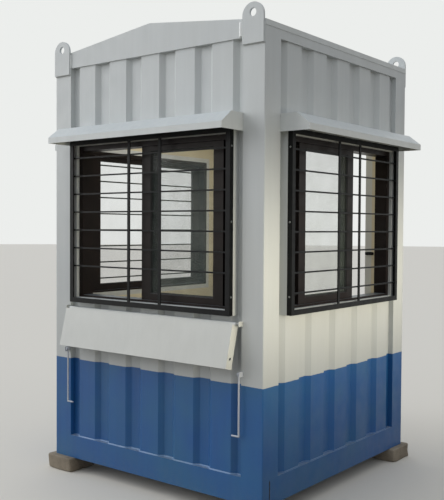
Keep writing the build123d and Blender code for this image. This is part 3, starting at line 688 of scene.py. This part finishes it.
blocks = [rough_block(x, y, seed) for seed, (x, y) in
          enumerate([(a * BLOCK_CENTRE, b * BLOCK_CENTRE) for a in (-1, 1) for b in (-1, 1)])]
make_piece("concrete_blocks", blocks, concrete, stands_for=("support_blocks",), fold=60)

# %% [markdown]
# ## Glazing rubber
#
# Each pane is held by a wedge of black rubber on both sides. Its section is a small quarter circle, and its
# path is the pane's rectangle with mitred corners: at each corner the section lies on the diagonal.

# %% Rubber round six panes
PANE_Z = (1.0693, 1.8307)
PANE_HALF = 0.216
PANE_X = {"front": (0.214, 0.240), "right": (-0.149, -0.149), "left": (-0.240, 0.240)}
PANE_DEPTH = (0.025, 0.053)
GLASS_HALF = 0.0025
RUBBER_WIDTH = 0.006
RUBBER_HEIGHT = 0.007
RUBBER_TUCK = 0.001


def rubber_wedge(wall, x, depth, out):
    """Section angle times corner number: a quarter circle from the glass to the sash, at four corners."""
    angle = np.linspace(0, math.pi / 2, 6)
    inset = np.concatenate([[-RUBBER_TUCK], RUBBER_WIDTH * np.cos(angle), [-RUBBER_TUCK]])[None, :]
    proud = np.concatenate([[0.0], RUBBER_HEIGHT * np.sin(angle), [RUBBER_HEIGHT]])[None, :]
    side_x = np.array([-1, 1, 1, -1])[:, None]
    side_z = np.array([-1, -1, 1, 1])[:, None]
    middle = sum(PANE_Z) / 2
    z = middle + side_z * ((PANE_Z[1] - PANE_Z[0]) / 2 - inset)
    return on_wall(wall, x + side_x * (PANE_HALF - inset), depth + out * (GLASS_HALF + proud), z)


wedges = [rubber_wedge(wall, x, depth, out) for wall, places in PANE_X.items()
          for x, depth in zip(places, PANE_DEPTH) for out in (-1, 1)]
make_piece("glazing_rubber", wedges, rubber, ring=True)

# %% [markdown]
# ## Screws
#
# Zinc-plated pan-head screws hold the grilles to the window surrounds, three up each side, and the door's
# hinges to its frame. A head is a low dome turned about its axis, with a cross pressed into it: where a point
# is within the cross, its height is taken down. So its two parameters are the distance from the axis and the
# angle. The first two rows are the underside, which is hidden but closes the head.

# %% Pan-head screws on the grilles
GRILLE_SIDE = 0.577
GRILLE_DEPTH = -0.030
GRILLE_FOOT = 0.995
GRILLE_HEIGHT = 0.915
GRILLE_SCREW = {"radius": 0.0052, "height": 0.0030}
CROSS_REACH = 0.64
CROSS_DEPTH = 0.6


def pan_head(centre, axis, radius, height):
    """Height at distance r is height (1 - (r/R)^4)^(1/2), less a cross whose arms are 2R/7 wide."""
    angle = np.linspace(0, 2 * math.pi, 32, endpoint=False)[None, :]
    r = radius * np.array([0, 1, 1, 0.97, 0.9, 0.8, 0.66, 0.62, 0.5, 0.35, 0.2, 0.12, 0])[:, None]
    rise = height * np.sqrt(np.clip(1 - (r / radius) ** 4, 0, 1)) + 0 * angle
    rise[:2] = -height / 2
    across, up = r * np.cos(angle), r * np.sin(angle)
    in_cross = (np.minimum(np.abs(across), np.abs(up)) < radius / 7) & (r < CROSS_REACH * radius)
    rise = rise - CROSS_DEPTH * height * in_cross
    axis = np.asarray(axis, float)
    first = np.cross(axis, (0, 0, 1)) if abs(axis[2]) < 0.9 else np.array([1.0, 0, 0])
    second = np.cross(axis, first)
    return (np.asarray(centre, float) + across[..., None] * first + up[..., None] * second
            + rise[..., None] * axis)


screws = []
for wall in ("front", "right", "left"):
    for x in (-GRILLE_SIDE, GRILLE_SIDE):
        outward = wall_direction(wall, math.copysign(1, x), 0)
        for share in (0.1, 0.5, 0.9):
            centre = on_wall(wall, x, GRILLE_DEPTH, GRILLE_FOOT + share * GRILLE_HEIGHT)
            screws.append(pan_head(centre, outward, **GRILLE_SCREW))
make_piece("grille_screws", screws, zinc)

# %% Screws on the door's hinges
HINGE_MIDDLES = (0.5447, 1.1780, 1.8113)
HINGE_DEPTH = -0.003
HINGE_HOLES = ((-0.033, 0.104), (0.0, 0.111), (0.033, 0.104))
HINGE_SCREW = {"radius": 0.0042, "height": 0.0022}
hinge_screws = []
for middle in HINGE_MIDDLES:
    for step, x in HINGE_HOLES:
        centre = on_wall("back", x, HINGE_DEPTH, middle + step)
        hinge_screws.append(pan_head(centre, (0, 1, 0), **HINGE_SCREW))
make_piece("hinge_screws", hinge_screws, zinc)

# %% [markdown]
# ## Tack welds on the grilles
#
# A tack weld holds each rod at both ends and at each side of the two straps that cross it. A tack is a drop
# of molten steel that set where it fell, so it is a small ball with a lumpy outline, half sunk in the bars.

# %% Tack welds
ROD_PITCH = 0.1016
FIRST_ROD = 1.1006
ROD_COUNT = 8
ROD_END = 0.572
ROD_DEPTH = -0.030
STRAP_EDGES = (0.103, 0.121)
STRAP_BACK = -0.0335
ROD_TACK = 0.0055
STRAP_TACK = 0.0042


def tack(centre, radius, turn):
    """A ball from two angles, whose radius is also multiplied by 1 + 0.14 sin(3 around + turn)."""
    around = np.linspace(0, 2 * math.pi, 10, endpoint=False)[None, :]
    up = np.linspace(-math.pi / 2, math.pi / 2, 7)[:, None]
    flat = np.cos(up) * (1 + 0.14 * np.sin(3 * around + turn))
    ball = np.stack([flat * np.cos(around), flat * np.sin(around), np.sin(up) + 0 * around], -1)
    return centre + radius * ball


tacks = []
for wall in ("front", "right", "left"):
    for number in range(1 if wall == "front" else 0, ROD_COUNT):
        z = FIRST_ROD + number * ROD_PITCH
        for side in (-1, 1):
            tacks.append(tack(on_wall(wall, side * ROD_END, ROD_DEPTH, z), ROD_TACK, number))
            tacks += [tack(on_wall(wall, side * x, STRAP_BACK, z), STRAP_TACK, number + side)
                      for x in STRAP_EDGES]
make_piece("grille_tacks", tacks, black_enamel, fold=60)

# %% [markdown]
# ## Sealant at the front gable
#
# A thick white strip of silicone closes the joint between the gable plate and each front lug. It is a smooth
# bead, squeezed out in one pull, so its scallops are long and shallow. The right strip is made three times as
# thick, and both are near white: in part that is a painted glint at the right joint. The table gives each
# strip's place along the wall and its radius.

# %% Sealant strips
STRIP_Z = (2.333, 2.413)
STRIP_DEPTH = -0.001
# The right strip is thick and near white: partly sealant, partly a painted glint.
STRIPS = ((-0.619, 0.004), (0.611, 0.012))
gable_strips = [bead([on_wall("front", x, STRIP_DEPTH, z) for z in STRIP_Z], wall_direction("front", 0, -1),
                     radius, scallop=0.02, depth=0.08) for x, radius in STRIPS]
make_piece("gable_sealant_and_glint", gable_strips, silicone_and_glint)

# %% [markdown]
# ## Painted shadow of the open joint at the foot of the near corner
#
# Where the right base rail meets the corner post, paint and filler have cracked and the joint has opened. The
# gap isn't cut into the steel: a dark bead, pressed nearly flat against the steel, is painted shadow for it.

# %% Painted shadow of the open joint
JOINT_PLACE = -0.690
JOINT_RADIUS = 0.0034
JOINT_FLATNESS = 0.12
joint_path = [on_wall("right", JOINT_PLACE + shift, 0.0, z)
              for shift, z in ((0.0, 0.084), (-0.001, 0.120), (0.001, 0.165), (-0.0005, 0.206))]
# The flattened dark bead is painted shadow, in place of a gap in the steel.
joint = bead(joint_path, (1, 0, 0), JOINT_RADIUS, scallop=0.03, depth=0.35)
joint[..., 0] = HALF_WIDTH + JOINT_FLATNESS * (joint[..., 0] - HALF_WIDTH)
make_piece("painted_joint_shadow", [joint], joint_shadow_paint)

# %% [markdown]
# ## Keeper on the door's frame
#
# Through the right window a small dark fitting shows on the door's frame: the keeper that the door's bolt
# slides into. It is a plate with round corners and a bent rod on it. The plate's outline is a superellipse,
# which is an ellipse pushed out towards its box, and the rod is a bead without scallops.

# %% Keeper
JAMB_X = -0.558
JAMB_DEPTH = 0.080
KEEPER_Z = 1.266
PLATE_HALF_X = 0.030
PLATE_HALF_Z = 0.010
PLATE_THICKNESS = 0.0025
PLATE_POWER = 0.4
STAPLE_HALF = 0.014
STAPLE_REACH = 0.018
STAPLE_RADIUS = 0.0034


def rounded_plate(wall, x, z, depth, half_x, half_z, thickness):
    """Outline angle times level: cos and sin, made squarish, at five levels from pole to pole."""
    angle = np.linspace(0, 2 * math.pi, 40, endpoint=False)[None, :]
    size = np.array([0.0, 1.0, 1.0, 0.95, 0.0])[:, None]
    level = np.array([0.0, 0.0, 0.7, 1.0, 1.0])[:, None]
    along_x = half_x * size * squarish(np.cos(angle), PLATE_POWER)
    along_z = half_z * size * squarish(np.sin(angle), PLATE_POWER)
    return on_wall(wall, x + along_x, depth + thickness * level, z + along_z)


plate = rounded_plate("back", JAMB_X, KEEPER_Z, JAMB_DEPTH, PLATE_HALF_X, PLATE_HALF_Z, PLATE_THICKNESS)
staple_path = [on_wall("back", JAMB_X + x, JAMB_DEPTH + depth, KEEPER_Z)
               for x, depth in ((-STAPLE_HALF, 0.0), (-STAPLE_HALF, STAPLE_REACH),
                                (STAPLE_HALF, STAPLE_REACH), (STAPLE_HALF, 0.0))]
staple = bead(staple_path, (0, 0, 1), STAPLE_RADIUS, scallop=0.01, depth=0.0)
make_piece("door_keeper", [plate, staple], black_enamel)

# %% [markdown]
# ## Floor and world
#
# The booth stands on a plain pale floor. The world gives most of the light, as a big soft studio ceiling
# does, and it is somewhat brighter towards the front left, where the key lamp stands too. Camera, glossy
# and transmission rays see the floor's and the backdrop's own pale colours, and other rays see a darker
# floor and a weaker world, so the background never adds light to the booth.

# %% Floor
FLOOR_RADIUS = 60.0
FLOOR_SIDES = 96


def seen_as_backdrop(tree):
    """1 for camera, glossy and transmission rays, and 0 for the rays that carry light."""
    rays = add(tree, "ShaderNodeLightPath")
    seen = add(tree, MATH, [rays.outputs["Is Camera Ray"], rays.outputs["Is Transmission Ray"]],
               operation="MAXIMUM")
    return add(tree, MATH, [seen, rays.outputs["Is Glossy Ray"]], operation="MAXIMUM")


turns = np.linspace(0, 2 * math.pi, FLOOR_SIDES, endpoint=False)
rim = FLOOR_RADIUS * np.stack([np.cos(turns), np.sin(turns), np.zeros(FLOOR_SIDES)], axis=1)
floor_mesh = bpy.data.meshes.new("floor")
floor_mesh.from_pydata(rim, [], [list(range(FLOOR_SIDES))])
floor = bpy.data.objects.new("floor", floor_mesh)
bpy.context.scene.collection.objects.link(floor)
floor_paint, tree, shader, place = new_material("pale studio floor")
floor_colour = add(tree, MIX, [seen_as_backdrop(tree), linear("#6F685D"), linear("#DDD9D0")],
                   data_type="RGBA")
finish(tree, shader, Base_Color=floor_colour)
shader.inputs["Roughness"].default_value = 0.9
floor_mesh.materials.append(floor_paint)
print("floor:", 2 * FLOOR_RADIUS, "m across")

# %% World
KEY_DIRECTION = Vector((-0.81, -0.45, 0.37))
LIGHT_AWAY_FROM_KEY = 0.47
LIGHT_TOWARDS_KEY = 0.90
world = bpy.data.worlds.new("studio")
world.use_nodes = True
bpy.context.scene.world = world
tree = world.node_tree
tree.nodes.clear()
sky_place = add(tree, "ShaderNodeTexCoord").outputs["Generated"]
towards_key = add(tree, "ShaderNodeVectorMath", [sky_place, KEY_DIRECTION], operation="DOT_PRODUCT")
strength = add(tree, RANGE, [towards_key, -0.9, 0.9, LIGHT_AWAY_FROM_KEY, LIGHT_TOWARDS_KEY])
ceiling_light = add(tree, "ShaderNodeBackground", [linear("#F2F6FC"), strength])
backdrop = add(tree, "ShaderNodeBackground", [linear("#ECEEEC"), 1.0])
mixed = add(tree, "ShaderNodeMixShader", [seen_as_backdrop(tree), ceiling_light, backdrop])
add(tree, "ShaderNodeOutputWorld", {"Surface": mixed})
print("world light:", LIGHT_AWAY_FROM_KEY, "to", LIGHT_TOWARDS_KEY)

# %% [markdown]
# ## Lamps
#
# The key is a sun 50 degrees wide, which is a soft lamp that is equally strong everywhere. It comes from the
# front left, so that the left slope of each rib is light and the right one dark. A warm box lamp stands low
# on the right, and its narrow spread keeps its light on the lower part of that wall. A weak lamp under the
# ceiling fills the room. The camera and mirror-like surfaces don't see the two area lamps.

# %% Lamps
LAMPS = [
    ("broad key", "SUN", {"energy": 1.15, "angle": math.radians(50)}, (0, 0, 0), -KEY_DIRECTION),
    ("warm box lamp", "AREA", {"energy": 7.6, "shape": "RECTANGLE", "size": 2.6, "size_y": 0.9,
                               "spread": math.radians(48), "color": linear("#FFF6DE")[:3]},
     (2.30, -0.2, 1.14), Vector((-1, 0, 0))),
    ("room lamp", "AREA", {"energy": 5.0, "size": 1.0}, (0, 0, 2.25), Vector((0, 0, -1))),
]
for name, kind, settings, place, aim in LAMPS:
    lamp = bpy.data.lights.new(name, kind)
    for key, value in settings.items():
        setattr(lamp, key, value)
    stand = bpy.data.objects.new(name, lamp)
    if kind == "AREA":
        stand.visible_camera = stand.visible_glossy = stand.visible_transmission = False
    bpy.context.scene.collection.objects.link(stand)
    stand.matrix_world = Matrix.Translation(place) @ aim.to_track_quat("-Z", "Y").to_matrix().to_4x4()
print("lamps:", len(LAMPS))
